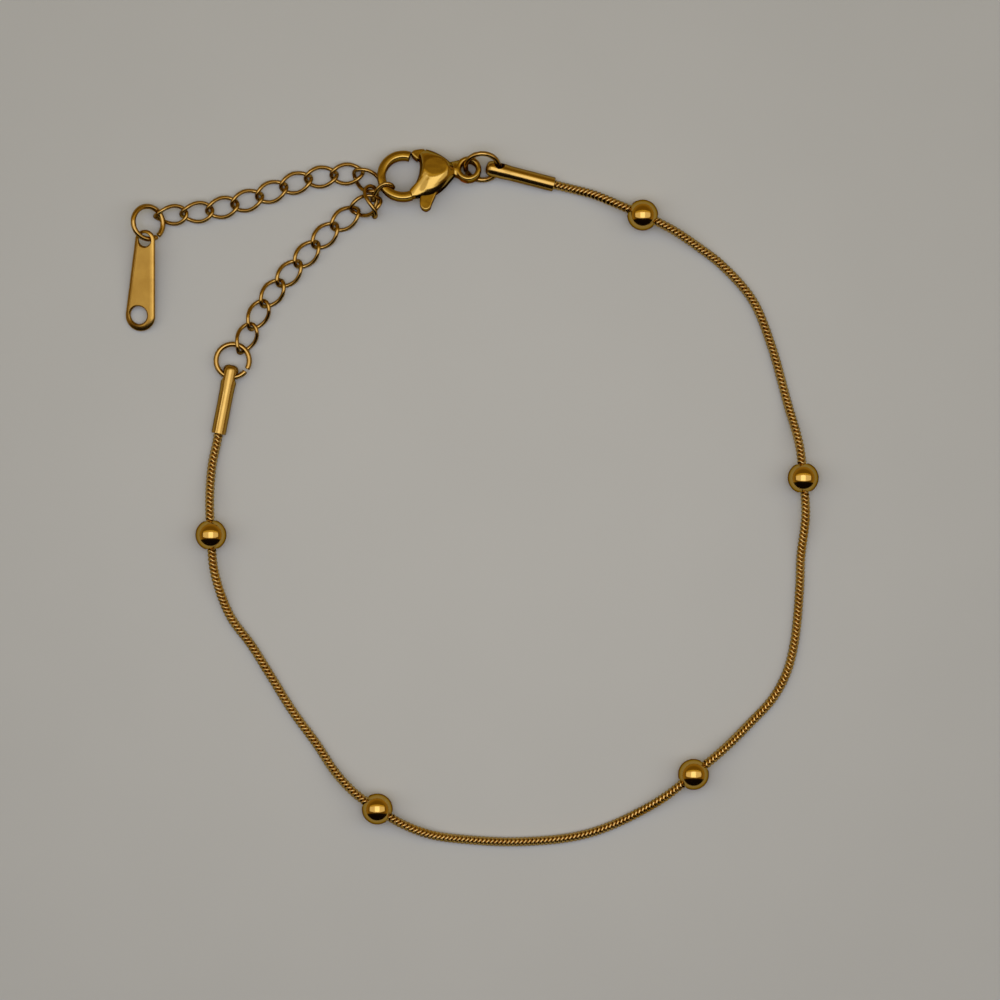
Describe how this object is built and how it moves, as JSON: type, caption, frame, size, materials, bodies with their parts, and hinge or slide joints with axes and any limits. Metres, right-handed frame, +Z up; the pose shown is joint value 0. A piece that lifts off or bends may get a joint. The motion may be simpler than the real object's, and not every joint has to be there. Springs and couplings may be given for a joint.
{
  "type": "snake chain bracelet",
  "caption": "Fine snake chain bracelet with spaced round beads, crimped end caps, a lobster clasp, and an extender of curb links ending in a small tag; it lies open, clasped, on a surface.",
  "frame": {"origin": "on the surface the bracelet lies on, under the middle of its box seen from above", "axes": "+Z up from the surface; +Y towards the clasp's side of the loop; +X to the right seen from above with the clasp at the top"},
  "size_m": [0.0671, 0.0675, 0.003],
  "materials": {
    "chain_gold": "gold-tone polished stainless steel, fine ring plates",
    "bead_gold": "gold-tone mirror-polished stainless steel",
    "cap_gold": "gold-tone polished stainless steel",
    "ring_gold": "gold-tone polished stainless steel wire",
    "link_gold": "gold-tone polished stainless steel wire",
    "tag_gold": "gold-tone polished stainless steel sheet",
    "clasp_gold": "gold-tone polished stainless steel, cast and tumbled"
  },
  "bodies": {
    "bracelet": {"snake_chain": "chain_gold", "bead_1": "bead_gold", "bead_2": "bead_gold", "bead_3": "bead_gold", "bead_4": "bead_gold", "bead_5": "bead_gold", "end_cap_left": "cap_gold", "end_cap_right": "cap_gold", "jump_ring_left": "ring_gold", "jump_ring_right": "ring_gold", "tag_ring": "ring_gold", "link_1": "link_gold", "link_2": "link_gold", "link_3": "link_gold", "link_4": "link_gold", "link_5": "link_gold", "link_6": "link_gold", "link_7": "link_gold", "link_8": "link_gold", "link_9": "link_gold", "link_10": "link_gold", "link_11": "link_gold", "link_12": "link_gold", "link_13": "link_gold", "link_14": "link_gold", "link_15": "link_gold", "link_16": "link_gold", "link_17": "link_gold", "link_18": "link_gold", "link_19": "link_gold", "tag": "tag_gold", "clasp_body": "clasp_gold"},
    "lever": {"clasp_lever": "clasp_gold"}
  },
  "joints": [
    {"name": "lever_hinge", "type": "hinge", "parent": "bracelet", "child": "lever", "pos_m": [-0.00393, 0.03229, 0.00126], "axis": [0, 0.2504, 0.9681], "range_deg": [0, 26], "stiffness_Nm_per_rad": 0.008}
  ]
}
